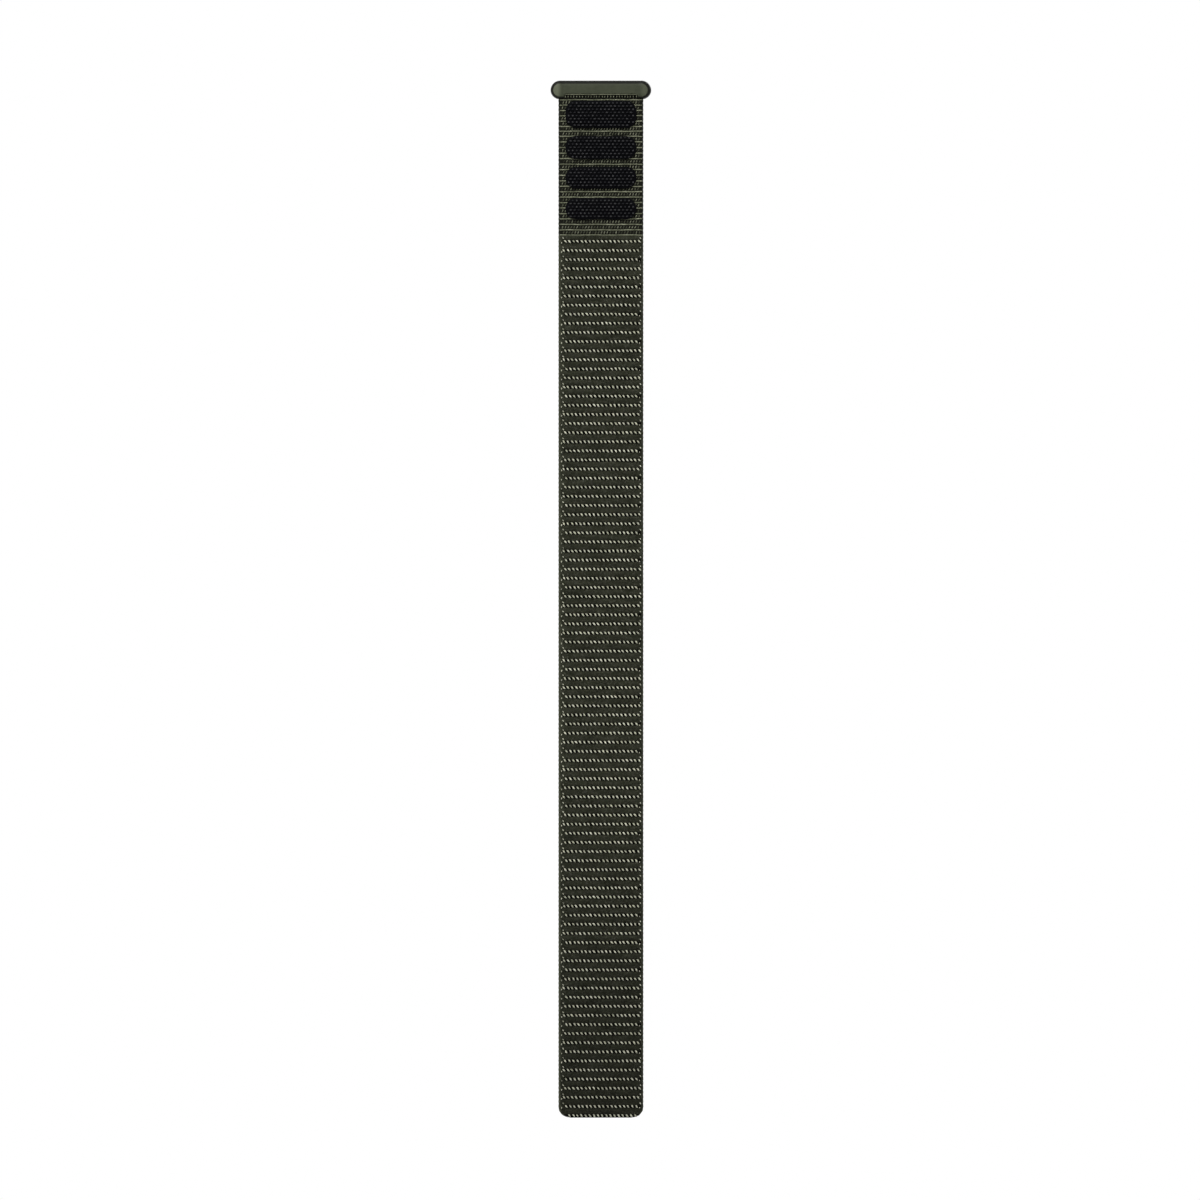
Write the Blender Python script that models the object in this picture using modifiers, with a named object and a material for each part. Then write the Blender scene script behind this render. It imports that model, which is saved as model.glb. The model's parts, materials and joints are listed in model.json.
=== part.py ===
"""A hook and loop nylon watch strap, hanging from its stopper bar.

+Z runs up the strap, +X across it, and the face with the hooks and loops looks along -Y. The origin
is the middle of the bar's lower shoulder, where the webbing comes out. A drop is a distance down the
strap from there, and a rise is one up from it.
"""

import math
from collections import namedtuple

import bmesh
import bpy
from mathutils import Matrix, Vector

MM = 0.001

# Webbing ribbon
STRAP_WIDTH = 22.0 * MM
WEB_THICKNESS = 1.2 * MM
WEB_EDGE_RADIUS = 0.4 * MM
TIP_CORNER_RADIUS = 2.7 * MM
LAYER_CLEARANCE = 0.05 * MM
END_CLEARANCE = 0.12 * MM

# Weft ribs that show on the bare webbing
FIRST_RIB_RISE = 1.15 * MM
RIB_PITCH = 1.4 * MM
RIB_WIDTH = 0.4 * MM
RIB_HEIGHT = 0.25 * MM

# Hook pads, from the bar down
FIRST_PAD_DROP = 0.47 * MM
PAD_WIDTH = 18.5 * MM
PAD_CORNER_RADIUS = 2.35 * MM
PAD_BACKING = 0.25 * MM
PAD_HEIGHTS = (7.12 * MM, 6.06 * MM, 5.71 * MM, 5.59 * MM)
SPACES_BELOW_PADS = (2.09 * MM, 1.98 * MM, 2.43 * MM, 3.96 * MM)

# Hooks on the pads
HOOK_PITCH = 1.05 * MM
HOOK_ROW_PITCH = 0.83 * MM
HOOK_HEIGHT = 0.45 * MM
HOOK_FOOT_RADIUS = 0.25 * MM
HOOK_TOP_RADIUS = 0.15 * MM
HOOK_LEAN = 0.15 * MM
HOOK_EDGE_MARGIN = 0.45 * MM
HOOK_SIDES = 3

# Loop pile, with a stitch row in each of its valleys
LOOP_WIDTH = 21.2 * MM
LOOP_THICKNESS = 0.95 * MM
ROW_PITCH = 2.376 * MM
ROW_DEPTH = 0.3 * MM
FIRST_ROW_BELOW_EDGE = 1.83 * MM
POINTS_PER_ROW = 6

# Flexing of the ribbon round a wrist
WRIST_RUN = 96.6 * MM
WRIST_LENGTHS = 10
FOLD_CLEARANCE = 0.25 * MM
TIP_LENGTH = 8.79 * MM
BAR_BEND = math.radians(20)
HOOK_BEND = math.radians(16)
WRIST_BEND = math.radians(18.5)
BACKWARD_BEND = math.radians(8)
BACKWARD_BAR_BEND = math.radians(15)

# Stopper bar
BAR_WIDTH = 26.0 * MM
BAR_HEIGHT = 4.67 * MM
BAR_THICKNESS = 3.6 * MM
BAR_EDGE_RADIUS = 0.8 * MM
NOTCH_WIDTH = 19.3 * MM
NOTCH_HEIGHT = 1.15 * MM
NOTCH_CORNER_RADIUS = 0.6 * MM
SLOT_SIDE_CLEARANCE = 0.15 * MM

# Looped end of the webbing and the rod through it
HEM_RISE = 2.6 * MM
HEM_RADIUS = 1.1 * MM
HEM_CLEARANCE = 0.1 * MM
ROD_RADIUS = 0.5 * MM
ROD_CLEARANCE = 0.05 * MM
ROD_SEAT_DEPTH = 0.9 * MM

ROUND_SEGMENTS = 24
CORNER_SEGMENTS = 6
EDGE_SEGMENTS = 3
BEVEL_SEGMENTS = 4
SHARP_ANGLE = math.radians(35)
CUT_OVERRUN = 0.5 * MM
WELD_DISTANCE = 0.0001 * MM

# Where an outline drawn in x and y lies: looking along X, looking along Y, or looking down
SIDE_VIEW = (math.pi / 2, 0, math.pi / 2)
FRONT_VIEW = (math.pi / 2, 0, 0)
TOP_VIEW = (0, 0, 0)

# Depths along Y, as distances in front of the webbing's middle
WEB_FACE = WEB_THICKNESS / 2
RIB_FACE = WEB_FACE + RIB_HEIGHT
PAD_BACK = RIB_FACE + LAYER_CLEARANCE
LOOP_BACK = WEB_FACE + LAYER_CLEARANCE
LOOP_FACE = LOOP_BACK + LOOP_THICKNESS
FOLD_AXIS_DEPTH = LOOP_FACE + FOLD_CLEARANCE
MOUTH_AXIS_RISE = FIRST_RIB_RISE - RIB_PITCH / 2
WRIST_PITCH = WRIST_RUN / WRIST_LENGTHS
LOOP_START_DROP = FIRST_PAD_DROP + sum(PAD_HEIGHTS) + sum(SPACES_BELOW_PADS)
FIRST_ROW_DROP = LOOP_START_DROP + FIRST_ROW_BELOW_EDGE

# A bend is positive where the ribbon closes towards the skin and negative where it closes towards its face
Length = namedtuple("Length", "run number start end start_bend end_bend")

# Linear colour, roughness and metallic value of each material
FINISHES = {
    "bar_plastic": ((0.070, 0.077, 0.049), 0.45, 0.0),
    "rod_steel": ((0.50, 0.50, 0.49), 0.30, 1.0),
    "webbing_olive": ((0.075, 0.080, 0.048), 0.90, 0.0),
    "loop_pile": ((0.048, 0.052, 0.036), 0.95, 0.0),
    "hook_black": ((0.004, 0.004, 0.006), 0.50, 0.0),
}


def clear_scene():
    for obj in list(bpy.data.objects):
        bpy.data.objects.remove(obj)


def new_collection(name):
    collection = bpy.data.collections.new(name)
    bpy.context.scene.collection.children.link(collection)
    return collection


def new_material(name):
    colour, roughness, metallic = FINISHES[name]
    material = bpy.data.materials.new(name)
    material.use_nodes = True
    shader = material.node_tree.nodes["Principled BSDF"]
    shader.inputs["Base Color"].default_value = (*colour, 1)
    shader.inputs["Roughness"].default_value = roughness
    shader.inputs["Metallic"].default_value = metallic
    material.diffuse_color = (*colour, 1)
    return material


def arc(centre, radius, start, end, segments):
    """Points along an arc, its two ends among them."""
    turns = [start + (end - start) * step / segments for step in range(segments + 1)]
    return [(centre[0] + radius * math.cos(t), centre[1] + radius * math.sin(t)) for t in turns]


def rounded_rectangle(width, height, radius, segments):
    """A rectangle about the origin with round corners, anticlockwise."""
    across, up = width / 2 - radius, height / 2 - radius
    corners = ((across, -up), (across, up), (-across, up), (-across, -up))
    points = []
    for quarter, corner in enumerate(corners, -1):
        start = quarter * math.pi / 2
        points += arc(corner, radius, start, start + math.pi / 2, segments)
    return points


def keyhole(radius, rise, back, front, bottom, front_points=()):
    """A round hem's outline from the side, as (y, z): a circle on a tongue that runs down to bottom."""
    start = -math.acos(back / radius)
    end = math.pi + math.acos(front / radius)
    circle = arc((0, rise), radius, start, end, ROUND_SEGMENTS)
    return [(back, bottom), *circle, *front_points, (-front, bottom)]


def rib_points(top, bottom):
    """The front of the bare webbing from the side, as (y, z) from top down, with each whole rib on it."""
    points = []
    number = math.ceil((FIRST_RIB_RISE + RIB_WIDTH - top) / RIB_PITCH)
    middle = FIRST_RIB_RISE - number * RIB_PITCH
    while middle - RIB_WIDTH > bottom:
        for rise, face in ((RIB_WIDTH / 2, WEB_FACE), (RIB_WIDTH / 4, RIB_FACE)):
            points.append((-face, middle + rise))
        for rise, face in ((RIB_WIDTH / 4, RIB_FACE), (RIB_WIDTH / 2, WEB_FACE)):
            points.append((-face, middle - rise))
        middle -= RIB_PITCH
    return points


def pile_face(drop):
    """How far in front of the webbing's middle the pile stands at a drop."""
    phase = math.pi * (drop - FIRST_ROW_DROP) / ROW_PITCH
    return LOOP_FACE - ROW_DEPTH * (1 - abs(math.sin(phase)))


def pile_points(start, end):
    """The pile's front from the side, as (y, z) from start down to end."""
    step = ROW_PITCH / POINTS_PER_ROW
    first = math.ceil((start - FIRST_ROW_DROP) / step + 1 / 2)
    last = math.floor((end - FIRST_ROW_DROP) / step - 1 / 2)
    inner = [FIRST_ROW_DROP + number * step for number in range(first, last + 1)]
    return [(-pile_face(drop), -drop) for drop in (start, *inner, end)]


def flat_curve(name, loops, thickness):
    """A filled outline of the given thickness, drawn in x and y about its own middle plane."""
    curve = bpy.data.curves.new(name, "CURVE")
    curve.dimensions = "2D"
    curve.fill_mode = "BOTH"
    curve.extrude = thickness / 2
    for points in loops:
        spline = curve.splines.new("POLY")
        spline.points.add(len(points) - 1)
        for point, (x, y) in zip(spline.points, points):
            point.co = (x, y, 0, 1)
        spline.use_cyclic_u = True
    return bpy.data.objects.new(name, curve)


def place(obj, collection, body, place_in_world, view=TOP_VIEW):
    """Puts a piece in the world and on the empty of the body that carries it."""
    obj.parent = body
    obj.location = Vector(place_in_world) - body.matrix_world.translation
    obj.rotation_euler = view
    collection.objects.link(obj)
    return obj


def as_mesh(obj):
    """Replaces a placed curve with a mesh whose caps are welded, so that it can be cut or joined."""
    name, collection = obj.name, obj.users_collection[0]
    graph = bpy.context.evaluated_depsgraph_get()
    mesh = bpy.data.meshes.new_from_object(obj.evaluated_get(graph))
    shape = bmesh.new()
    shape.from_mesh(mesh)
    bmesh.ops.remove_doubles(shape, verts=shape.verts, dist=WELD_DISTANCE)
    shape.to_mesh(mesh)
    shape.free()
    made = bpy.data.objects.new(name, mesh)
    made.parent = obj.parent
    made.location, made.rotation_euler = obj.location, obj.rotation_euler
    bpy.data.objects.remove(obj)
    made.name = name
    collection.objects.link(made)
    return made


def smooth(obj):
    obj.data.shade_smooth()
    obj.data.set_sharp_from_angle(angle=SHARP_ANGLE)


def hide_cutter(obj):
    obj.hide_render = True
    obj.display_type = "WIRE"
    return obj


def combine(obj, other, operation):
    modifier = obj.modifiers.new(f"{operation.lower()}_{other.name}", "BOOLEAN")
    modifier.operation = operation
    modifier.object = other


def cut_strap():
    """The ribbon's lengths between flex lines, from the bar down.

    The tail's lengths are longer than the inner run's. Folded back and curled, each one then lies
    parallel to the length inside it.
    """
    found = []
    edge, bend = -MOUTH_AXIS_RISE, BAR_BEND
    pad_end = FIRST_PAD_DROP
    for number, (height, space) in enumerate(zip(PAD_HEIGHTS, SPACES_BELOW_PADS), 1):
        flex = pad_end + height + space / 2
        next_bend = WRIST_BEND if number == len(PAD_HEIGHTS) else HOOK_BEND
        found.append(Length("hook", number, edge, flex, bend, next_bend))
        edge, bend = flex, next_bend
        pad_end += height + space
    for number in range(1, WRIST_LENGTHS + 1):
        next_bend = WRIST_BEND if number < WRIST_LENGTHS else 0
        found.append(Length("wrist", number, edge, edge + WRIST_PITCH, bend, next_bend))
        edge, bend = edge + WRIST_PITCH, next_bend
    covered = list(reversed(found))
    tail_count = WRIST_LENGTHS + 1
    for number, inner in enumerate(covered[: tail_count + 1], 1):
        length = inner.end - inner.start
        length += 2 * FOLD_AXIS_DEPTH * (math.tan(inner.start_bend / 2) + math.tan(inner.end_bend / 2))
        run, count = ("tail", number) if number <= tail_count else ("tip", number - tail_count)
        found.append(Length(run, count, edge, edge + length, -bend, -inner.start_bend))
        edge, bend = edge + length, inner.start_bend
    found.append(Length("tip", 2, edge, edge + TIP_LENGTH, -bend, 0))
    return found


def half_gap(skin_reach, face_reach, bend):
    """How far a piece ends short of a flex line, so that it clears its neighbour at both limits."""
    to_skin = bend if bend > 0 else BACKWARD_BEND
    to_face = BACKWARD_BEND if bend > 0 else -bend
    closing = (skin_reach * math.tan(to_skin / 2), face_reach * math.tan(to_face / 2))
    return max(closing) + END_CLEARANCE


def add_body(name, parent, place_in_world):
    """An empty on the joint's axis, which carries the pieces of one body."""
    body = bpy.data.objects.new(name, None)
    body.empty_display_size = WEB_THICKNESS
    bpy.context.scene.collection.objects.link(body)
    body.parent = parent
    start = parent.matrix_world.translation if parent else Vector()
    body.location = Vector(place_in_world) - start
    bpy.context.view_layer.update()
    return body


def add_bar(parts, cutters, body, material):
    """The moulded bar, with the space for the hem, the notch in front and the rod's two seats."""
    outline = rounded_rectangle(BAR_WIDTH, BAR_HEIGHT, BAR_HEIGHT / 2, ROUND_SEGMENTS // 2)
    bar = flat_curve("stopper_bar", [outline], BAR_THICKNESS)
    bar = as_mesh(place(bar, parts, body, (0, 0, BAR_HEIGHT / 2), FRONT_VIEW))
    bevel = bar.modifiers.new("round_edges", "BEVEL")
    bevel.width = BAR_EDGE_RADIUS
    bevel.segments = BEVEL_SEGMENTS
    for cutter in (cut_hem_space(cutters, body), cut_notch(cutters, body), cut_rod_seats(cutters, body)):
        combine(bar, cutter, "DIFFERENCE")
    smooth(bar)
    bar.data.materials.append(material)
    return bar


def mouth_reach(reach, bend):
    """How far the webbing's surface stands from the middle at the shoulder when it is bent there."""
    return reach / math.cos(bend) + MOUTH_AXIS_RISE * math.tan(bend) + END_CLEARANCE


def cut_hem_space(cutters, body):
    back = mouth_reach(WEB_FACE, BAR_BEND)
    front = mouth_reach(RIB_FACE, BACKWARD_BAR_BEND)
    outline = keyhole(HEM_RADIUS + HEM_CLEARANCE, HEM_RISE, back, front, -CUT_OVERRUN)
    space = flat_curve("hem_space", [outline], STRAP_WIDTH + 2 * SLOT_SIDE_CLEARANCE)
    return hide_cutter(as_mesh(place(space, cutters, body, (0, 0, 0), SIDE_VIEW)))


def cut_notch(cutters, body):
    outline = rounded_rectangle(NOTCH_WIDTH, 2 * NOTCH_HEIGHT, NOTCH_CORNER_RADIUS, CORNER_SEGMENTS)
    notch = flat_curve("front_notch", [outline], BAR_THICKNESS)
    middle = -BAR_THICKNESS / 2 - RIB_FACE
    return hide_cutter(as_mesh(place(notch, cutters, body, (0, middle, 0), FRONT_VIEW)))


def add_cylinder(name, collection, body, radius, length, material=None):
    """A cylinder along X on the rod's axis."""
    bpy.ops.mesh.primitive_cylinder_add(vertices=ROUND_SEGMENTS, radius=radius, depth=length)
    cylinder = bpy.context.object
    cylinder.name = name
    cylinder.users_collection[0].objects.unlink(cylinder)
    smooth(cylinder)
    if material:
        cylinder.data.materials.append(material)
    return place(cylinder, collection, body, (0, 0, HEM_RISE), SIDE_VIEW)


def cut_rod_seats(cutters, body):
    length = STRAP_WIDTH + 2 * (SLOT_SIDE_CLEARANCE + ROD_SEAT_DEPTH)
    return hide_cutter(add_cylinder("rod_seats", cutters, body, ROD_RADIUS + ROD_CLEARANCE, length))


def add_rod(parts, body, material):
    length = STRAP_WIDTH + 2 * (SLOT_SIDE_CLEARANCE + ROD_SEAT_DEPTH - ROD_CLEARANCE)
    return add_cylinder("retaining_rod", parts, body, ROD_RADIUS, length, material)


def add_hem(parts, body, material):
    """The webbing's end, looped round the rod and welded to itself."""
    bottom = MOUTH_AXIS_RISE + half_gap(WEB_FACE, WEB_FACE, BAR_BEND)
    ribs = rib_points(FIRST_RIB_RISE + RIB_WIDTH, bottom)
    outline = keyhole(HEM_RADIUS, HEM_RISE, WEB_FACE, WEB_FACE, bottom, ribs)
    bore = arc((0, HEM_RISE), ROD_RADIUS + ROD_CLEARANCE, 0, 2 * math.pi, ROUND_SEGMENTS)[1:]
    hem = flat_curve("webbing_hem", [outline, bore], STRAP_WIDTH)
    hem.data.materials.append(material)
    return place(hem, parts, body, (0, 0, 0), SIDE_VIEW)


def web_ends(length):
    """The top and bottom of a length's webbing, as heights in the world."""
    top = -length.start - half_gap(WEB_FACE, RIB_FACE, length.start_bend)
    if length.end_bend or length.run != "tip":
        return top, -length.end + half_gap(WEB_FACE, RIB_FACE, length.end_bend)
    return top, -length.end


def add_ribbed_web(parts, body, length, material):
    """A length of bare webbing with its weft ribs in front."""
    top, bottom = web_ends(length)
    outline = [(WEB_FACE, bottom), (WEB_FACE, top), (-WEB_FACE, top)]
    outline += [*rib_points(top, bottom), (-WEB_FACE, bottom)]
    web = flat_curve(f"{length.run}_web_{length.number}", [outline], STRAP_WIDTH)
    web.data.materials.append(material)
    return place(web, parts, body, (0, 0, 0), SIDE_VIEW)


def add_plain_web(parts, body, length, material):
    """A length of the webbing that the loop pile covers, with rounded selvages."""
    top, bottom = web_ends(length)
    outline = rounded_rectangle(STRAP_WIDTH, WEB_THICKNESS, WEB_EDGE_RADIUS, EDGE_SEGMENTS)
    web = flat_curve(f"{length.run}_web_{length.number}", [outline], top - bottom)
    web.data.materials.append(material)
    return place(web, parts, body, (0, 0, (top + bottom) / 2))


def add_loops(parts, body, length, material):
    """The loop pile on one length."""
    start = max(length.start + half_gap(0, LOOP_FACE, length.start_bend), LOOP_START_DROP)
    end = length.end
    if length.end_bend or length.run != "tip":
        end -= half_gap(0, LOOP_FACE, length.end_bend)
    outline = [(-LOOP_BACK, -end), (-LOOP_BACK, -start), *pile_points(start, end)]
    loops = flat_curve(f"{length.run}_loops_{length.number}", [outline], LOOP_WIDTH)
    loops.data.materials.append(material)
    return place(loops, parts, body, (0, 0, 0), SIDE_VIEW)


def round_tip(obj, cutters, body, length, width):
    """Rounds the free end's two corners."""
    height = 2 * (length.end - length.start)
    outline = rounded_rectangle(width, height, TIP_CORNER_RADIUS, CORNER_SEGMENTS)
    keep = flat_curve(f"{obj.name}_outline", [outline], 2 * FOLD_AXIS_DEPTH)
    middle = -length.end + height / 2
    keep = as_mesh(place(keep, cutters, body, (0, 0, middle), FRONT_VIEW))
    tip = as_mesh(obj)
    combine(tip, hide_cutter(keep), "INTERSECT")
    return tip


def hook_places(height):
    """Where the hooks stand on a pad, as (x, y, lean), in rows that are set half a pitch apart."""
    found = []
    rows = math.floor((height - 2 * HOOK_EDGE_MARGIN) / HOOK_ROW_PITCH)
    for row in range(rows + 1):
        y = (row - rows / 2) * HOOK_ROW_PITCH
        inset = max(abs(y) - (height / 2 - PAD_CORNER_RADIUS), 0)
        corner = PAD_CORNER_RADIUS - math.sqrt(max(PAD_CORNER_RADIUS**2 - inset**2, 0))
        reach = PAD_WIDTH / 2 - corner - HOOK_EDGE_MARGIN
        shift = HOOK_PITCH / 2 if row % 2 else 0
        columns = math.floor((reach - shift) / HOOK_PITCH)
        first = -columns - (1 if shift else 0)
        lean = HOOK_LEAN if row % 2 else -HOOK_LEAN
        found += [(column * HOOK_PITCH + shift, y, lean) for column in range(first, columns + 1)]
    return found


def add_hooks(cutters, body, name, height, place_in_world):
    """Every hook of one pad in one mesh: tapered, and leaning up in one row and down in the next."""
    depth = PAD_BACKING / 2 + HOOK_HEIGHT
    shape = bmesh.new()
    for x, y, lean in hook_places(height):
        slant = Matrix.Shear("XY", 4, (0, lean / depth))
        bmesh.ops.create_cone(
            shape,
            cap_ends=True,
            segments=HOOK_SIDES,
            radius1=HOOK_FOOT_RADIUS,
            radius2=HOOK_TOP_RADIUS,
            depth=depth,
            matrix=Matrix.Translation((x, y, depth / 2)) @ slant,
        )
    mesh = bpy.data.meshes.new(name)
    shape.to_mesh(mesh)
    shape.free()
    hooks = bpy.data.objects.new(name, mesh)
    return hide_cutter(place(hooks, cutters, body, place_in_world, FRONT_VIEW))


def add_pad(parts, cutters, body, number, material):
    """A patch of hooks on its backing."""
    above = number - 1
    height = PAD_HEIGHTS[above]
    drop = FIRST_PAD_DROP + sum(PAD_HEIGHTS[:above]) + sum(SPACES_BELOW_PADS[:above])
    middle = (0, -PAD_BACK - PAD_BACKING / 2, -drop - height / 2)
    outline = rounded_rectangle(PAD_WIDTH, height, PAD_CORNER_RADIUS, CORNER_SEGMENTS)
    pad = flat_curve(f"hook_pad_{number}", [outline], PAD_BACKING)
    pad = as_mesh(place(pad, parts, body, middle, FRONT_VIEW))
    combine(pad, add_hooks(cutters, body, f"hooks_{number}", height, middle), "UNION")
    pad.data.materials.append(material)
    return pad


def add_length(parts, cutters, body, length, materials):
    """The webbing of one length and what lies on it."""
    if length.run == "hook":
        add_ribbed_web(parts, body, length, materials["webbing_olive"])
        add_pad(parts, cutters, body, length.number, materials["hook_black"])
        return
    web = add_plain_web(parts, body, length, materials["webbing_olive"])
    loops = add_loops(parts, body, length, materials["loop_pile"])
    if length.run == "tip" and not length.end_bend:
        round_tip(web, cutters, body, length, STRAP_WIDTH)
        round_tip(loops, cutters, body, length, LOOP_WIDTH)


def main():
    clear_scene()
    parts, cutters = new_collection("nylon_watch_strap"), new_collection("cutters")
    materials = {name: new_material(name) for name in FINISHES}
    body = add_body("stopper", None, (0, 0, 0))
    add_bar(parts, cutters, body, materials["bar_plastic"])
    add_rod(parts, body, materials["rod_steel"])
    add_hem(parts, body, materials["webbing_olive"])
    for length in cut_strap():
        folds = length.run == "tail" and length.number == 1
        depth = FOLD_AXIS_DEPTH if folds else 0
        body = add_body(f"{length.run}_{length.number}", body, (0, -depth, -length.start))
        add_length(parts, cutters, body, length, materials)


main()
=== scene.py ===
"""The looks of a hook and loop watch strap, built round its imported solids.

A drop is a distance down the strap from the bar's lower shoulder, which is at height zero. The face
with the hooks and loops looks along -Y. Each flex line has a zone of its own, from the middle of
the length above it to the middle of the length below, and every soft piece is cut at the ends of
the zones.
"""

import json
from collections import namedtuple
from itertools import product
from math import ceil, cos, floor, pi, radians, sin, sqrt

import bpy
import numpy as np
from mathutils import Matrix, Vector

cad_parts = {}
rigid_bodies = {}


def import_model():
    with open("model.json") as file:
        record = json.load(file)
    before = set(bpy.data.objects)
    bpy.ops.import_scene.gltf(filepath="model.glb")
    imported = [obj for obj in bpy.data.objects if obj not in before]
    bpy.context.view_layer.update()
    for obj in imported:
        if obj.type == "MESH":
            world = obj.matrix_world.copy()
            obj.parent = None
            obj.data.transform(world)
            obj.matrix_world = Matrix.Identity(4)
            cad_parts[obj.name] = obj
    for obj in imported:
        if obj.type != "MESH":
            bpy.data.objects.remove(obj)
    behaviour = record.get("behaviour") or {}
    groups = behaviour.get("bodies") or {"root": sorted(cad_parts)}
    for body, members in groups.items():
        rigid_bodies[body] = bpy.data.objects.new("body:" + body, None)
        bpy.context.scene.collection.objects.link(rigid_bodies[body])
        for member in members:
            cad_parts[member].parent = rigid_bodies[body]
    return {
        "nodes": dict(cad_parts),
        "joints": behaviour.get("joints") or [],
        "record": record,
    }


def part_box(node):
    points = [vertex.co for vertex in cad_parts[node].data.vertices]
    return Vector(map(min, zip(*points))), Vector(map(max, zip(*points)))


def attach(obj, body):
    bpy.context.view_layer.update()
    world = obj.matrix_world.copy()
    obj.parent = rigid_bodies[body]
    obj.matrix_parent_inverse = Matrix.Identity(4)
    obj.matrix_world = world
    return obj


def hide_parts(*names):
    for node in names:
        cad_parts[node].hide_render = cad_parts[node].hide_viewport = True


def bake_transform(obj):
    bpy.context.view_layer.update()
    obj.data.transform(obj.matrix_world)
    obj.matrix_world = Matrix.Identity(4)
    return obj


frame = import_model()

MM = 0.001
SEED = 7

Zone = namedtuple("Zone", "upper lower top bottom start end")
Form = namedtuple("Form", "points corners sizes")
Thread = namedtuple("Thread", "length radius end_fall arch arch_fall arch_power points sides")
Light = namedtuple("Light", "name direction strength softness")

# Loop pile and its rows of stitches
ROW_PITCH = 2.376 * MM
FIRST_ROW_BELOW_EDGE = 1.83 * MM
ROW_NUMBER_DIGITS = 6
STATIONS_PER_ROW = 12
LEAST_STATION_SHARE = 0.3
GROOVE_HALF_WIDTH = 0.27 * MM
GROOVE_SHOULDER = 0.34 * MM
GROOVE_DEPTH = 0.7 * MM
GROOVE_BELOW_ROW = 0.07 * MM
GROOVE_PAST_STITCH = 0.25 * MM
PILE_ROUGHNESS = 0.045 * MM
PILE_EDGE_ROUND = 0.7 * MM
PILE_EDGE_DROP = 0.28 * MM
PILE_SIDE_DROP = 0.45 * MM
PILE_SINK = 0.03 * MM
PILE_COLUMNS = 79

# Slanted stitches. A fall is how much of a thread is lost at its ends, and the spreads are those
# of a stitch's place along the row, its height, lean and size
STITCHES_PER_ROW = 19
STITCH_PITCH = 1.076 * MM
STITCH_EDGE_MARGIN = 0.36 * MM
FIRST_STITCH_PLACES_MM = (-9.30, -9.64, -9.02)
STITCH_LENGTH = 0.8 * MM
STITCH_RADIUS = 0.225 * MM
STITCH_END_SHARE = 0.6
STITCH_END_FALL = 0.9
STITCH_TAPER_SHARE = 0.25
STITCH_TAPER_LEAD = 0.2
STITCH_RINGS = 13
STITCH_TWIST = 6.5
PLY_RADIUS_SHARE = 0.62
PLY_SIDES = 6
STITCH_ARCH = 0.46 * MM
STITCH_ARCH_FALL = 0.97
STITCH_LEAN = radians(38)
STITCH_SPREADS = (0.07 * MM, 0.04 * MM, radians(9), 0.08)

# Zigzag stitches along the selvages, placed from each row's middle
EDGE_STITCH = Thread(0.44 * MM, 0.11 * MM, 0.6, 0.16 * MM, 0.9, 0.5, points=5, sides=6)
EDGE_STITCH_SINK = 0.05 * MM
EDGE_STITCH_SIZES = (0.8, 1.1)
EDGE_STITCH_PLACES_MM = ((-9.84, 0.84), (-10.25, -0.38), (10.30, 0.82), (10.08, -0.42))
FAINT_END_EVERY = 3

# Loops of yarn that stand on the pile
LOOPS_PER_SQUARE_MM = 15.0
LOOP_SPAN = 0.46 * MM
LOOP_RISE = 0.2 * MM
LOOP_LENGTHS = (0.46 * MM, 0.62 * MM)
LOOP_TILTS = (-1.1, -0.7, 0.7, 1.1)
LOOP_HALF_TURNS = (-0.2, 1.2)
LOOP_FOOT_SINK = 0.6
LOOP_YARN_RADIUS = 0.034 * MM
LOOP_FREE_SHARE = 0.85
LOOP_SIZES = (0.6, 1.0)
LOOP_SIDES = 3
LOOP_POINTS = 8

# Bare webbing beside the hook pads. A cord's waves are (height, length)
CORD_DROPS_MM = (
    -1.12, 0.25, 1.67, 3.03, 4.40, 5.82, 7.20, 8.45, 9.79, 11.23, 12.71, 14.18, 15.60, 17.08,
    18.47, 19.93, 21.43, 22.84, 24.24, 25.67, 27.08, 28.49, 29.95, 31.30, 32.78, 34.21, 35.55,
)
CORD_RADIUS = 0.17 * MM
CORD_RIPPLE_SHARE = 0.16
CORD_WAVES = ((0.015 * MM, 3.1 * MM), (0.03 * MM, 8.37 * MM))
CORD_STEPS = 90
CORD_SIDES = 7
CORD_FLAT_SHARE = 0.97
CORD_TURN_START = 0.9
CORD_TURN_FULLNESS = 0.98
CORD_TURN_DEPTH_SHARE = 0.8
FLOAT_PITCH = 0.76 * MM
FLOAT = Thread(0.68 * MM, 0.14 * MM, 0.5, 0.16 * MM, 1, 1, points=6, sides=6)
FLOAT_LEAN = radians(22)
FLOAT_LEAN_SPREAD = radians(9)
MOUTH_CORD_HALF_WIDTH = 9.7 * MM
MOUTH_CORD_FORWARD = 0.5 * MM
MOUTH_CORD_RADIUS = 0.13 * MM
MOUTH_CORD_END_POWER = 8
MOUTH_CORD_END_FALL = 0.7
MOUTH_THREAD = Thread(0.46 * MM, 0.1 * MM, 0.5, 0.16 * MM, 1, 1, points=7, sides=8)
MOUTH_THREAD_PITCH = 0.74 * MM
MOUTH_THREAD_HEIGHT = 0.55 * MM
MOUTH_THREAD_SPREAD_MM = 0.1

# Weave on the skin side, and the ribbon's edges
WARP_PITCH = 0.56 * MM
BACK_RIB_HEIGHT = 0.13 * MM
BACK_WARP_HEIGHT = 0.07 * MM
SELVAGE_STEPS = 5
SELVAGE_BULGE = 0.1 * MM
SELVAGE_DEPTH_SHARE = 0.95
END_BEAD = 0.14 * MM
FRONT_COLUMNS = 12

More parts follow.
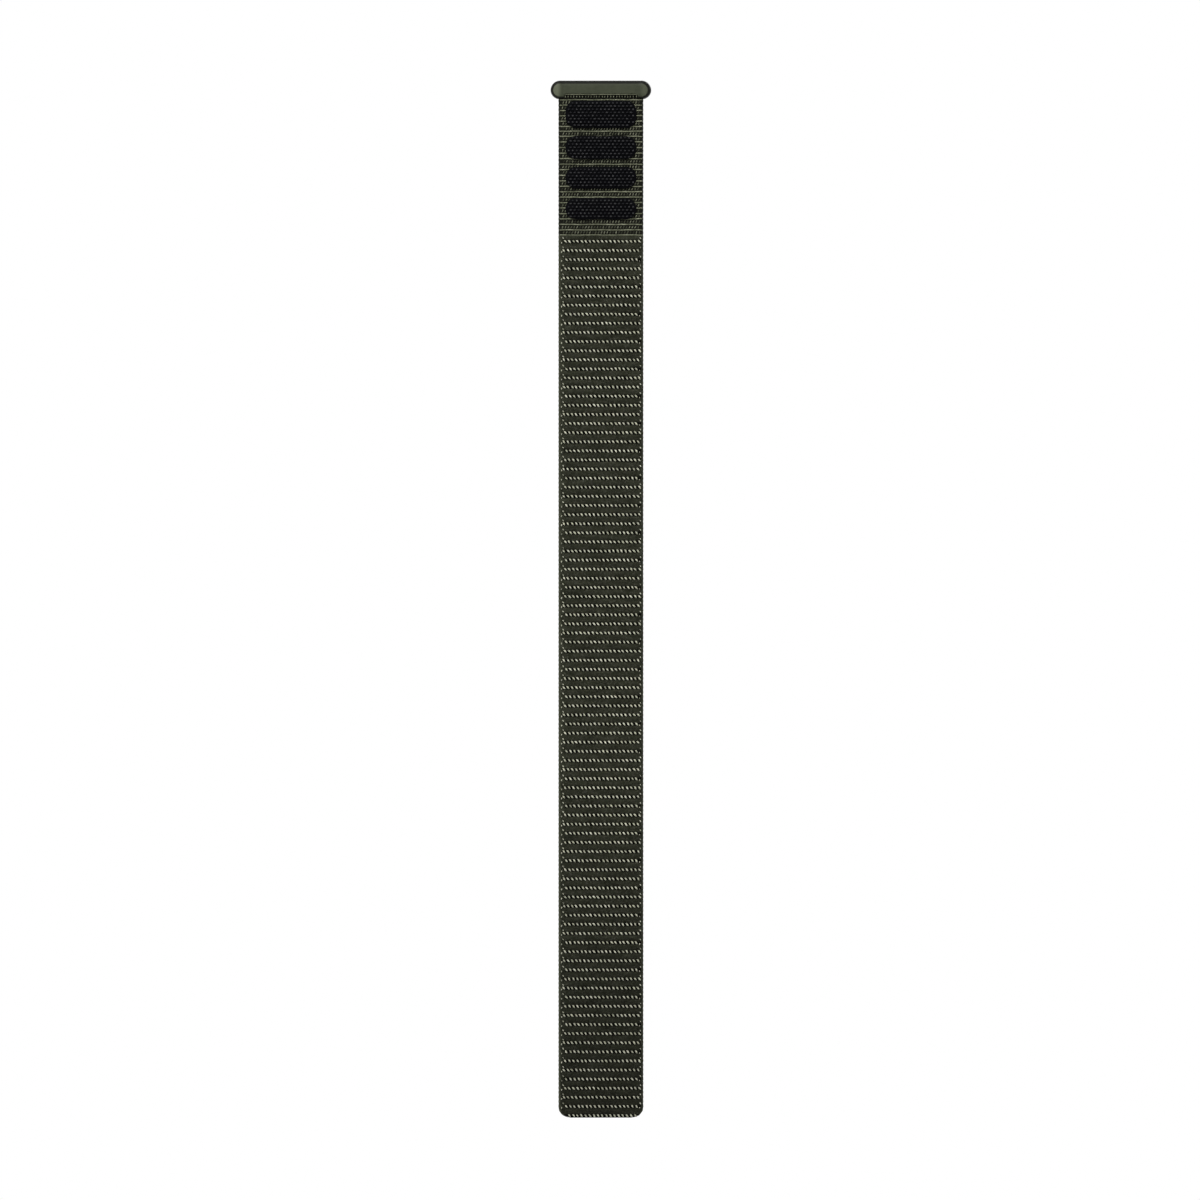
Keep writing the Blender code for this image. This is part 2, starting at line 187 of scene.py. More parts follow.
# Hook pads
PAD_CORNER_RADIUS = 2.75 * MM
PAD_CORNER_LIMIT_SHARE = 0.49
PAD_CORNER_STEPS = 10
PAD_BACKING = 0.25 * MM
PAD_EDGE_ROUND = 0.1 * MM
PAD_BEVEL_SHARE = 0.3
HOOK_PITCH = 1.05 * MM
HOOK_ROW_PITCH = 0.83 * MM
HOOK_EDGE_MARGIN = 0.45 * MM
HOOK_CURL_RADIUS = 0.15 * MM
HOOK_CURL = radians(205)
HOOK_CURL_STEPS = 9
HOOK_SIDES = 10
HOOK_FOOT_RADIUS = 0.16 * MM
HOOK_NECK_SHARE = 0.85
HOOK_TIP_RADIUS = 0.09 * MM
HOOK_LEAN_SPREAD = 0.09
HOOK_WIDTH_SHARES = (2.0, 3.2)
HOOK_HEIGHT_SHARES = (1.0, 0.86)

# Stopper bar
BAR_CROWN_POWER = 3.4
BAR_END_POWER = 2.2
BAR_DOME_POWER = 0.75
BAR_WAIST = 0.16 * MM
BAR_WAIST_HALF_WIDTH = 10.9 * MM
BAR_WAIST_RUN = 0.9 * MM
BAR_END_STEPS = 14
BAR_END_REACH_SHARE = 0.9999
BAR_MIDDLE_STEPS = 60
BAR_SIDES = 56
BAR_CROWN_RISE = 0.14 * MM
NOTCH_WIDTH = 19.3 * MM
NOTCH_HEIGHT = 1.32 * MM
NOTCH_CORNER_RADIUS = 0.6 * MM
NOTCH_CORNER_STEPS = 6
SLOT_SIDE_CLEARANCE = 0.15 * MM
SLOT_HALF_DEPTH = 0.98 * MM
SLOT_HEIGHT_SHARE = 0.8
CUT_OVERRUN = 0.5 * MM
SHARP_ANGLE = radians(40)
PAD_SHARP_ANGLE = radians(60)
CLOTH_SHARP_ANGLE = radians(75)

# Webbing inside the bar, and the ranges over which the ribbon bends
RIBBON_TOP_RISE = 1.7 * MM
MOUTH_BEND_REACH = 0.55 * MM
BEND_REACH = 3.4 * MM
FOLD_REACH = 2.9 * MM
TIP_CORNER_RADIUS = 2.7 * MM
HEM_STEPS = 20
HEM_ROD_CLEARANCE_SHARE = 1.05

# Bar finish. Tones and shades are stops of a colour ramp, as (position, colour)
BAR_TONES = ((0.3, (0.034, 0.039, 0.024)), (0.72, (0.048, 0.054, 0.034)))
BAR_MOTTLE_RANGE = (0.3, 0.7)
BAR_ROUGHNESSES = (0.45, 0.58)
# Painted highlights on the bar's domed ends, brighter on the left end
BAR_HIGHLIGHT_START = 10.0 * MM
BAR_HIGHLIGHT_END = 11.5 * MM
BAR_HIGHLIGHT_SHARES = (0.95, 0.42)
BAR_END_PAINTED_HIGHLIGHT = (0.1, 0.109, 0.073)
# Painted shade round the bar's rim, nearly black, shifted to be wider at the top and right
BAR_RIM_SHADE_RANGE = (0.66, 0.77)
BAR_RIM_SHADE_SHIFT = 0.12 * MM
BAR_RIM_SHADE_SHARE = 0.97
BAR_RIM_PAINTED_SHADE = (0.003, 0.003, 0.002)

# Webbing finish
# Shaded and lit copies of the olive, mixed by the weave's relief as painted shade
WEAVE_SHADED_TONES = ((0.3, (0.016, 0.018, 0.01)), (0.7, (0.027, 0.03, 0.018)))
WEAVE_LIT_TONES = ((0.3, (0.078, 0.084, 0.053)), (0.7, (0.118, 0.126, 0.082)))
FIBRE_SHADES = ((0.2, (0.3, 0.3, 0.3)), (0.8, (1.6, 1.6, 1.5)))
# Painted shade, nearly black, on the ribbon's front between the cords and floats
BARE_GAP_SHADE = (0.004, 0.004, 0.003)
BARE_GAP_SHADE_DEPTHS = (-0.5 * MM, -0.1 * MM)
BARE_GAP_SHADE_SHARE = 0.93
# Painted shade along both edges of the webbing
SELVAGE_PAINTED_SHADE = (0.01, 0.011, 0.007)
SELVAGE_SHADE_SHARE = 0.6
SELVAGE_SHADE_RUN = 0.4 * MM
CORD_TONES = ((0.28, (0.055, 0.06, 0.036)), (0.5, (0.16, 0.169, 0.112)), (0.75, (0.31, 0.32, 0.228)))
# Painted shade where the weft cords turn round the edges
CORD_TURN_SHADE = (0.02, 0.022, 0.013)
CORD_TURN_SHADE_EDGE = (0.5 * MM, 0.1 * MM)
CORD_TURN_SHADE_SHARE = 0.85
FLOAT_TONES = ((0, (0.024, 0.026, 0.016)), (0.5, (0.11, 0.116, 0.076)), (1, (0.24, 0.25, 0.175)))

# Finish of the pile and its stitches
TIP_FADE_START_SHARE = 0.6
PILE_TONES = ((0.3, (0.013, 0.014, 0.009)), (0.52, (0.028, 0.03, 0.02)), (0.74, (0.05, 0.052, 0.038)))
FUZZ_SHADES = ((0.3, (0.35, 0.35, 0.33)), (0.7, (1.7, 1.7, 1.6)))
# Painted shade, nearly black, in the grooves of the stitch rows
GROOVE_PAINTED_SHADE = (0.002, 0.002, 0.0015)
GROOVE_SHADE_SHARE = 0.92
YARN_BAND_SHADES = ((0.3, (0.6, 0.6, 0.57)), (0.7, (1.3, 1.3, 1.3)))
YARN_TONES = ((0, (0.018, 0.019, 0.012)), (0.55, (0.04, 0.043, 0.028)), (1, (0.1, 0.103, 0.078)))
STITCH_TONES = ((0, (0.6, 0.61, 0.46)), (0.4, (0.79, 0.8, 0.63)), (1, (0.95, 0.95, 0.8)))
SOIL_SHADES = ((0.3, (0.5, 0.5, 0.45)), (0.7, (1.15, 1.15, 1.1)))

# Finish of the hooks and the rod
HOOK_TONES = ((0.3, (0.001, 0.001, 0.0016)), (0.75, (0.003, 0.003, 0.0038)))
# Painted highlights on the hooks' tops, each hook of its own tone
HOOK_TOP_HIGHLIGHT_TONES = ((0, (0.014, 0.014, 0.016)), (1, (0.05, 0.05, 0.052)))
HOOK_TOP_HIGHLIGHT_DEPTH = 0.2 * MM
ROD_TONES = ((0.2, (0.42, 0.42, 0.41)), (0.8, (0.58, 0.58, 0.57)))

# A Mix node's sockets for a factor and two colours, and for its colour
MIX_INPUTS = (0, 6, 7)
MIX_OUTPUT = 2

# Camera, light and stage
CAMERA_LENS = 150
CAMERA_SENSOR = 36
CAMERA_DISTANCE = 1.3048
CAMERA_SIDE = -0.000235
CAMERA_HEIGHT = -0.1308
SUBJECT_DEPTH = -0.0011
FLOOR_HEIGHT = -0.45
FLOOR_HALF_WIDTH = 12.0
FLOOR_BEHIND = 1.3
FLOOR_THICKNESS = 0.01
FLOOR_TONES = ((0, (0.5, 0.5, 0.5)), (1, (0.52, 0.52, 0.52)))
FLOOR_GLOW = 0.53
WORLD_LIGHT = 0.4
BLACK = (0, 0, 0)
WHITE = (1, 1, 1)

LIGHTS = (
    Light("key", (-0.4, -1.0, 0.85), 2.9, radians(24)),
    Light("front_fill", (0.6, -1.0, -0.1), 0.6, radians(60)),
    Light("rear_fill", (0.5, 1.0, 0.6), 2.1, radians(40)),
)

chance = np.random.default_rng(SEED)
bodies = frame["record"]["behaviour"]["bodies"]


def node_of(body, kind):
    """The body's CAD node of a kind, such as web, pad or loops, or None."""
    return next((name for name in bodies[body] if f"_{kind}_" in name), None)


def middle_drop(body):
    low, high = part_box(node_of(body, "web"))
    return -(low.z + high.z) / 2


pile_low, pile_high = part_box(node_of("wrist_3", "loops"))
bar_low, bar_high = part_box("stopper_bar")
HALF_WIDTH, HALF_THICKNESS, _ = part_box(node_of("wrist_3", "web"))[1]
RIB_FACE = -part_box(node_of("hook_2", "web"))[0].y
PILE_HALF_WIDTH = pile_high.x
PILE_FACE = -pile_low.y
PILE_START = -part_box("wrist_loops_1")[1].z
FIRST_ROW = PILE_START + FIRST_ROW_BELOW_EDGE
STRAP_END = END_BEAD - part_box("tip_web_2")[0].z
STATION = ROW_PITCH / STATIONS_PER_ROW
BAR_HALF_HEIGHT = (bar_high.z - bar_low.z) / 2
BAR_STRAIGHT = bar_high.x - BAR_HALF_HEIGHT


def snapped(drop):
    """The nearest drop where the pattern is level: a row, or a valley behind the hooks."""
    step = ROW_PITCH if drop > PILE_START else ROW_PITCH / 2
    return FIRST_ROW + round((drop - FIRST_ROW) / step) * step


def plan_zones():
    """One zone for each flex line, from the bar down."""
    joints = frame["joints"]
    cuts = [-RIBBON_TOP_RISE]
    cuts += [snapped(middle_drop(joint["child"])) for joint in joints[:-1]]
    cuts.append(STRAP_END)
    zones = []
    for joint, top, bottom in zip(joints, cuts, cuts[1:]):
        line = -joint["pos_m"][2]
        start, end = line - BEND_REACH, line + BEND_REACH
        pad_above, pad_below = (node_of(joint[side], "pad") for side in ("parent", "child"))
        if pad_above:
            start = -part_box(pad_above)[0].z
        if pad_below:
            end = -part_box(pad_below)[1].z
        if joint["name"] == "bar_tilt":
            start = line - MOUTH_BEND_REACH
        if joint["name"] == "fold_back":
            start, end = line - FOLD_REACH, line + FOLD_REACH
        zones.append(Zone(joint["parent"], joint["child"], top, bottom, start, end))
    return zones


def store_rest(mesh):
    """Remembers where each point is at rest, so that the texture stays on it."""
    rest = mesh.attributes.get("rest") or mesh.attributes.new("rest", "FLOAT_VECTOR", "POINT")
    points = np.zeros(len(mesh.vertices) * 3, np.float32)
    mesh.vertices.foreach_get("co", points)
    rest.data.foreach_set("vector", points)


def new_mesh(name, form):
    """A smooth mesh."""
    mesh = bpy.data.meshes.new(name)
    mesh.vertices.add(len(form.points))
    mesh.loops.add(len(form.corners))
    mesh.polygons.add(len(form.sizes))
    starts = np.cumsum(form.sizes) - form.sizes
    mesh.vertices.foreach_set("co", np.asarray(form.points, np.float32).ravel())
    mesh.loops.foreach_set("vertex_index", form.corners.astype(np.int32))
    mesh.polygons.foreach_set("loop_start", starts.astype(np.int32))
    mesh.update(calc_edges=True)
    mesh.shade_smooth()
    store_rest(mesh)
    return mesh


def add_object(name, data):
    obj = bpy.data.objects.new(name, data)
    bpy.context.scene.collection.objects.link(obj)
    return obj


def new_piece(name, form, material, sharp=pi):
    obj = add_object(name, new_mesh(name, form))
    obj.data.materials.append(material)
    if sharp < pi:
        obj.data.set_sharp_from_angle(angle=sharp)
    return obj


def bend_with(obj):
    """Moves a piece's placement into its mesh's points."""
    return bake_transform(obj)


def spread(reach, count=None):
    """Random numbers up to a reach to either side of zero."""
    return chance.uniform(-reach, reach, count)


def circle(sides):
    """The angles of a ring's points."""
    return np.linspace(0, 2 * np.pi, sides, endpoint=False)[None, :]


def in_line(count, pitch):
    """Evenly spaced places with their middle at zero."""
    return (np.arange(count) - (count - 1) / 2) * pitch


def smoothstep(value):
    share = np.clip(value, 0, 1)
    return share * share * (3 - 2 * share)


def rounded_off(share, fall, power=0.5):
    """1 in a thread's middle, where the share is 0, and less towards its ends at -1 and 1."""
    return (1 - share**2 * fall) ** power


def tube(rings):
    """A closed body through rings of points, with a flat face on each end."""
    count, around, _ = rings.shape
    points = rings.reshape(-1, 3)
    row = np.arange(count - 1)[:, None] * around
    column = np.arange(around)[None, :]
    following = (column + 1) % around
    below = row + around
    sides = np.stack((row + column, below + column, below + following, row + following), axis=-1)
    sides = sides.reshape(-1, 4)
    first_end = np.arange(around)
    last_end = np.arange(count * around - 1, (count - 1) * around - 1, -1)
    corners = points[sides] - points.mean(axis=0)
    outward = np.cross(corners[:, 1], corners[:, 2]) + np.cross(corners[:, 2], corners[:, 3])
    if np.sum(corners[:, 0] * outward) < 0:
        sides, first_end, last_end = sides[:, ::-1], first_end[::-1], last_end[::-1]
    sizes = np.full(len(sides) + 2, 4)
    sizes[-2:] = around
    return Form(points, np.concatenate([sides.ravel(), first_end, last_end]), sizes)


def shell(rings):
    """A tube without its two ends, for rings that close on themselves."""
    form = tube(rings)
    count = 4 * (len(form.sizes) - 2)
    return Form(form.points, form.corners[:count], form.sizes[:-2])


def joined(forms):
    """Several bodies as one form."""
    firsts = np.cumsum([0] + [len(form.points) for form in forms])
    points = np.concatenate([form.points for form in forms])
    corners = np.concatenate([form.corners + first for form, first in zip(forms, firsts)])
    return Form(points, corners, np.concatenate([form.sizes for form in forms]))


def copies(form, places):
    """A small body repeated at several places."""
    points = np.einsum("nij,pj->npi", places[:, :, :3], form.points) + places[:, None, :, 3]
    firsts = np.arange(len(places))[:, None] * len(form.points)
    corners = form.corners[None, :] + firsts
    return Form(points.reshape(-1, 3), corners.ravel(), np.tile(form.sizes, len(places)))


def thread(y, z, radii, sides, offset=0.0, phase=0.0):
    """A short thread along a path in the YZ plane, or one ply of it, offset from that path."""
    path = np.stack([0 * z, y, z], axis=1)
    along = np.gradient(path, axis=0)
    along /= np.linalg.norm(along, axis=1)[:, None]
    across = np.array([1.0, 0.0, 0.0])
    outward = np.cross(across, along)[:, None, :]
    turn = circle(sides)
    radii, offset, phase = (
        np.broadcast_to(value, len(path))[:, None] for value in (radii, offset, phase)
    )
    sideways = radii * np.cos(turn) + offset * np.cos(phase)
    outwards = radii * np.sin(turn) + offset * np.sin(phase)
    return tube(path[:, None, :] + sideways[..., None] * across + outwards[..., None] * outward)


def placed(x, y, z, lean=0.0, scale=1.0):
    """Places as 3 by 4 matrices, which size a thread, turn it by lean about Y and move it."""
    x, y, z, lean, scale = np.broadcast_arrays(*np.atleast_1d(x, y, z, lean, scale))
    places = np.zeros((len(x), 3, 4))
    places[:, 0, 0] = places[:, 2, 2] = scale * np.cos(lean)
    places[:, 0, 2] = scale * np.sin(lean)
    places[:, 2, 0] = -scale * np.sin(lean)
    places[:, 1, 1] = scale
    places[:, :, 3] = np.stack([x, y, z], axis=1)
    return places


def tip_narrowing(drop):
    """The width at a drop as a share of the full one, less where the tip's corners are round."""
    past = np.clip(drop - (STRAP_END - TIP_CORNER_RADIUS), 0, TIP_CORNER_RADIUS)
    lost = TIP_CORNER_RADIUS - np.sqrt(TIP_CORNER_RADIUS**2 - past**2)
    return (HALF_WIDTH - lost) / HALF_WIDTH


def stations(top, bottom):
    """Drops from top to bottom, on the pattern's own lines between them."""
    first = ceil((top - FIRST_ROW) / STATION + LEAST_STATION_SHARE)
    last = floor((bottom - FIRST_ROW) / STATION - LEAST_STATION_SHARE)
    inner = FIRST_ROW + np.arange(first, last + 1) * STATION
    return np.concatenate([[top], inner, [bottom]])


def back_relief(x, drop):
    """How far the weave stands out on the skin side: ribs, which the warp crosses in turn."""
    row = 2 * (drop - FIRST_ROW) / ROW_PITCH
    rib = np.abs(np.cos(np.pi * row))
    parity = np.round(row).astype(int) % 2
    warp = np.abs(np.cos(np.pi * (x / WARP_PITCH + parity / 2)))
    return BACK_RIB_HEIGHT * rib + BACK_WARP_HEIGHT * rib * warp


def ribbon_rings(drops):
    """Rings round the ribbon: the front, a selvage, the back and the other selvage."""
    radius = HALF_THICKNESS
    reach = HALF_WIDTH - radius
    ones = np.ones_like(drops)
    front = ones * np.linspace(-reach, reach, FRONT_COLUMNS)
    back = np.arange(-reach, reach, WARP_PITCH / 2)[::-1]
    turn = np.linspace(-np.pi / 2, np.pi / 2, SELVAGE_STEPS + 2)[1:-1]
    edge_relief = BACK_RIB_HEIGHT / 2 * np.sin(2 * np.pi * (drops - FIRST_ROW) / ROW_PITCH) ** 2
    side_x = (radius + SELVAGE_BULGE - edge_relief) * np.cos(turn)
    side_y = ones * radius * np.sin(turn) * SELVAGE_DEPTH_SHARE
    back_y = radius - BACK_RIB_HEIGHT - BACK_WARP_HEIGHT + back_relief(back[None, :], drops)
    x = np.concatenate([front, reach + side_x, ones * back, -reach - side_x[:, ::-1]], axis=1)
    y = np.concatenate([np.full_like(front, -radius), side_y, back_y, side_y[:, ::-1]], axis=1)
    x = x * tip_narrowing(drops)
    return np.stack([x, y, -drops * np.ones_like(x)], axis=-1)


def build_ribbon(zone, material):
    """The woven ribbon of one zone."""
    rings = ribbon_rings(stations(zone.top, zone.bottom)[:, None])
    name = f"webbing_{zone.lower}"
    obj = new_piece(name, tube(rings), material, CLOTH_SHARP_ANGLE)
    nodes = [node_of(zone.lower, "web")]
    if zone.upper == "stopper":
        nodes.append("webbing_hem")
    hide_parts(*nodes)
    return bend_with(obj)


def first_stitch(number_of_row):
    """Where a row of stitches starts. Three kinds of row follow each other."""
    return np.array(FIRST_STITCH_PLACES_MM)[number_of_row % len(FIRST_STITCH_PLACES_MM)] * MM


def groove_share(x, drop):
    """1 at the bottom of the groove that a row of stitches lies in, 0 on the pile."""
    row = (drop - GROOVE_BELOW_ROW - FIRST_ROW) / ROW_PITCH
    nearest = np.round(row)
    away = np.abs(row - nearest) * ROW_PITCH
    groove = 1 - smoothstep((away - GROOVE_HALF_WIDTH) / GROOVE_SHOULDER)
    first = first_stitch(nearest.astype(int))
    last = first + (STITCHES_PER_ROW - 1) * STITCH_PITCH
    last = np.minimum(last, PILE_HALF_WIDTH - STITCH_EDGE_MARGIN)
    past_end = np.maximum(first - x, x - last) - GROOVE_PAST_STITCH
    return groove * (1 - smoothstep(past_end / GROOVE_SHOULDER))


def pile_face(x, drop):
    """How far in front of the webbing's middle the pile's base stands."""
    inward = PILE_HALF_WIDTH - np.abs(x)
    side = PILE_SIDE_DROP * (1 - smoothstep(inward / PILE_EDGE_ROUND)) ** 2
    return PILE_FACE - LOOP_RISE / 2 - np.maximum(GROOVE_DEPTH * groove_share(x, drop), side)


def build_pile(zone, material):
    """The thick felt-like layer of loops, with a groove for each row of stitches."""
    top = max(zone.top, PILE_START + PILE_EDGE_DROP)
    x = np.linspace(-PILE_HALF_WIDTH, PILE_HALF_WIDTH, PILE_COLUMNS)[None, :]
    drops = stations(top, zone.bottom)[:, None]
    face = pile_face(x, drops)
    rough = chance.normal(0, PILE_ROUGHNESS, face.shape)
    rough[[0, -1]] = 0
    face = face + rough
    narrow = tip_narrowing(drops)
    sink = HALF_THICKNESS - PILE_SINK
    corners = np.array([PILE_HALF_WIDTH, -PILE_HALF_WIDTH])
    ring_x = np.concatenate([x * narrow, corners * narrow], axis=1)
    ring_y = np.concatenate([-face, np.full((len(drops), 2), -sink)], axis=1)
    rings = np.stack([ring_x, ring_y, -drops * np.ones_like(ring_x)], axis=-1)
    obj = new_piece(f"pile_{zone.lower}", tube(rings), material, CLOTH_SHARP_ANGLE)
    # The groove share, which the pile's material uses to paint shade in the grooves
    shade = obj.data.attributes.new("groove", "FLOAT", "POINT")
    shade.data.foreach_set("value", groove_share(ring_x, drops).astype(np.float32).ravel())
    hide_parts(node_of(zone.lower, "loops"))
    return bend_with(obj)


def rows_in(zone):
    """The drops of a zone's rows of stitches. One on its lower end is the next zone's."""
    above = (max(zone.top, PILE_START) - FIRST_ROW) / ROW_PITCH
    first = ceil(round(above, ROW_NUMBER_DIGITS))
    last = floor((STRAP_END - FIRST_ROW) / ROW_PITCH)
    drops = [FIRST_ROW + number * ROW_PITCH for number in range(max(first, 0), last + 1)]
    tolerance = STATION / 2
    return [drop for drop in drops if zone.top - tolerance <= drop < zone.bottom - tolerance]


def arched(kind):
    """A short thread that arches out of the cloth and dives back into it."""
    share = np.linspace(-1, 1, kind.points)
    y = -kind.arch * rounded_off(share, kind.arch_fall, kind.arch_power)
    radii = kind.radius * rounded_off(share, kind.end_fall)
    return thread(y, -share * kind.length / 2, radii, kind.sides)


def stitch_thread():
    """One slanted stitch: two plies that arch out of the groove and taper downward."""
    share = np.linspace(-1, 1, STITCH_RINGS)
    z = -share * STITCH_LENGTH / 2
    y = -STITCH_ARCH * rounded_off(share, STITCH_ARCH_FALL)
    ends = STITCH_END_SHARE + (1 - STITCH_END_SHARE) * rounded_off(share, STITCH_END_FALL)
    taper = smoothstep((share + STITCH_TAPER_LEAD) / (1 + STITCH_TAPER_LEAD))
    reach = STITCH_RADIUS * ends * (1 - STITCH_TAPER_SHARE * taper)
    radii, offset = reach * PLY_RADIUS_SHARE, reach * (1 - PLY_RADIUS_SHARE)
    turns = STITCH_TWIST * (share + 1) / 2
    return joined([thread(y, z, radii, PLY_SIDES, offset, turns + start) for start in (0, np.pi)])


def stitch_row(drop, number_of_row):
    """Where the slanted stitches of one row stand."""
    count = STITCHES_PER_ROW
    x = first_stitch(number_of_row) + np.arange(count) * STITCH_PITCH
    shift, rise, lean, size = (spread(reach, count) for reach in STITCH_SPREADS)
    x += shift
    places = placed(x, GROOVE_DEPTH - PILE_FACE, rise - drop, lean - STITCH_LEAN, 1 + size)
    reach = PILE_HALF_WIDTH * tip_narrowing(drop) - STITCH_EDGE_MARGIN
    return places[np.abs(x) < reach]


def edge_stitches(drop, number_of_row):
    """Where the zigzag's turns lie beside one row. The last shows in one kind of row only."""
    x, rise = np.array(EDGE_STITCH_PLACES_MM).T * MM
    height = rise - drop
    lean = np.where(rise > 0, -STITCH_LEAN, STITCH_LEAN / 2)
    size = chance.uniform(*EDGE_STITCH_SIZES, len(x))
    places = placed(x, EDGE_STITCH_SINK - pile_face(x, -height), height, lean, size)
    if drop > STRAP_END - TIP_CORNER_RADIUS:
        return places[:0]
    faint_end = number_of_row % FAINT_END_EVERY == FAINT_END_EVERY - 1
    return places if faint_end else places[:-1]


def build_stitches(zone, template, edge_template, material):
    """The rows of slanted stitches and the zigzag along both selvages."""
    rows = [(drop, round((drop - FIRST_ROW) / ROW_PITCH)) for drop in rows_in(zone)]
    if not rows:
        return
    kinds = (("stitches", template, stitch_row), ("edge_stitches", edge_template, edge_stitches))
    for name, form, places_of in kinds:
        places = np.concatenate([places_of(*row) for row in rows])
        obj = new_piece(f"{name}_{zone.lower}", copies(form, places), material)
        bend_with(obj)


def yarn_loops():
    """Small loops of pile yarn that lean over sideways."""
    turn = np.linspace(*LOOP_HALF_TURNS, LOOP_POINTS) * np.pi
    made = []
    for tilt, length in product(LOOP_TILTS, LOOP_LENGTHS):
        z = LOOP_SPAN / 2 * np.cos(turn)
        y = -length / 2 * (np.sin(turn) + LOOP_FOOT_SINK)
        form = thread(y, z, LOOP_YARN_RADIUS, LOOP_SIDES)
        x, y, z = form.points.T
        cosine, sine = cos(tilt), sin(tilt)
        tilted = np.stack([x * cosine - y * sine, x * sine + y * cosine, z])
        made.append(form._replace(points=tilted.T))
    return made


def build_yarn_loops(zone, templates, material):
    """The loops of yarn that stand on the pile between the rows."""
    top = max(zone.top, PILE_START + PILE_EDGE_DROP) + LOOP_SPAN / 2
    bottom = zone.bottom - LOOP_SPAN / 2
    reach = PILE_HALF_WIDTH - LOOP_SPAN / 3
    count = int((bottom - top) * 2 * reach / MM**2 * LOOPS_PER_SQUARE_MM)
    x = spread(reach, count)
    drop = chance.uniform(top, bottom, count)
    lean = chance.uniform(0, 2 * np.pi, count)
    size = chance.uniform(*LOOP_SIZES, count)
    depth = LOOP_RISE / 4 - pile_face(x, drop)
    keep = groove_share(x, drop) < LOOP_FREE_SHARE
    keep &= np.abs(x) < PILE_HALF_WIDTH * tip_narrowing(drop) - LOOP_SPAN / 3
    shares = np.array_split(placed(x, depth, -drop, lean, size)[keep], len(templates))
    form = joined([copies(template, share) for template, share in zip(templates, shares)])
    return bend_with(new_piece(f"yarn_loops_{zone.lower}", form, material))


def cord_drops(zone):
    """The drops of a zone's weft cords, and of the middles of the gaps below them."""
    drops = [drop * MM for drop in CORD_DROPS_MM]
    gaps = [(above + below) / 2 for above, below in zip(drops, drops[1:])]
    return [[drop for drop in row if zone.top <= drop < zone.bottom] for row in (drops, gaps)]


def mouth_threads():
    """The pale threads that show in the bar's notch, in one row."""
    count = int(2 * MOUTH_CORD_HALF_WIDTH / MOUTH_THREAD_PITCH)
    x = in_line(count, MOUTH_THREAD_PITCH) + spread(MOUTH_THREAD_SPREAD_MM, count) * MM
    lean = spread(FLOAT_LEAN_SPREAD, count)
    places = placed(x, -RIB_FACE - MOUTH_CORD_FORWARD / 2, MOUTH_THREAD_HEIGHT, lean)
    return copies(arched(MOUTH_THREAD), places)


def cord_tube(x, y, z, radius):
    """A cord that runs across the webbing through points."""
    turn = circle(CORD_SIDES)
    y, z, radius = (np.broadcast_to(value, len(x))[:, None] for value in (y, z, radius))
    ring_y = y + radius * np.cos(turn)
    ring_z = z + radius * np.sin(turn)
    return tube(np.stack([x[:, None] * np.ones_like(ring_y), ring_y, ring_z], axis=-1))


def mouth_cord(drop):
    """The cord along the notch's upper edge."""
    x = np.linspace(-MOUTH_CORD_HALF_WIDTH, MOUTH_CORD_HALF_WIDTH, CORD_STEPS)
    end = (x / MOUTH_CORD_HALF_WIDTH) ** MOUTH_CORD_END_POWER
    radius = MOUTH_CORD_RADIUS * np.sqrt(1 - end * MOUTH_CORD_END_FALL)
    return cord_tube(x, -RIB_FACE - MOUTH_CORD_FORWARD, -drop, radius)


def weft_cord(drop):
    """One weft cord, which lies across the face and turns round both selvages."""
    share = np.linspace(-1, 1, CORD_STEPS)
    out = np.abs(share)
    reach = HALF_WIDTH - CORD_RADIUS / 2
    x = reach * np.sin(share * np.pi / 2 * CORD_TURN_FULLNESS)
    x = np.where(out < CORD_TURN_START, share / CORD_TURN_START * reach * CORD_FLAT_SHARE, x)
    fall = smoothstep((out - CORD_TURN_START) / (1 - CORD_TURN_START))
    y = -(HALF_THICKNESS + CORD_RADIUS / 2) + fall * HALF_THICKNESS * CORD_TURN_DEPTH_SHARE
    phase = chance.uniform(0, 2 * np.pi, 3)
    z = np.full(CORD_STEPS, -drop)
    for (height, length), start in zip(CORD_WAVES, phase):
        z += height * np.sin(2 * np.pi * x / length + start)
    ripple = np.cos(2 * np.pi * x / FLOAT_PITCH + phase[2])
    return cord_tube(x, y, z, CORD_RADIUS * (1 + CORD_RIPPLE_SHARE * ripple))


def build_bare_face(zone, template, cord, floats):
    """The weft cords and the warp floats between them, beside the hook pads."""
    drops, gaps = cord_drops(zone)
    if not drops:
        return
    cords = [weft_cord(drop) for drop in drops if drop > 0]
    if drops[0] < 0:
        cords += [mouth_cord(drops[0]), mouth_threads()]
    form = joined(cords)
    bend_with(new_piece(f"weft_cords_{zone.lower}", form, cord))
    places = []
    count = int(2 * (HALF_WIDTH - FLOAT_PITCH / 2) / FLOAT_PITCH)
    for middle in (gap for gap in gaps if gap > 0):
        x = in_line(count, FLOAT_PITCH) + spread(FLOAT_PITCH / 3)
        lean = FLOAT_LEAN + spread(FLOAT_LEAN_SPREAD, count)
        row = placed(x, FLOAT.radius / 2 - HALF_THICKNESS, -middle, lean)
        places.append(row[np.abs(x) < HALF_WIDTH - FLOAT_PITCH / 2])
    form = copies(template, np.concatenate(places))
    bend_with(new_piece(f"warp_floats_{zone.lower}", form, floats))


def rounded_rectangle(y, width, height, radius, steps):
    """Points at one y round a rectangle with round corners, anticlockwise seen from +Y."""
    across, up = width / 2 - radius, height / 2 - radius
    corners = ((across, -up), (across, up), (-across, up), (-across, -up))
    points = []
    for quarter, (x, z) in enumerate(corners, -1):
        for step in range(steps + 1):
            turn = (quarter + step / steps) * np.pi / 2
            points.append((x + radius * cos(turn), y, z + radius * sin(turn)))
    return points


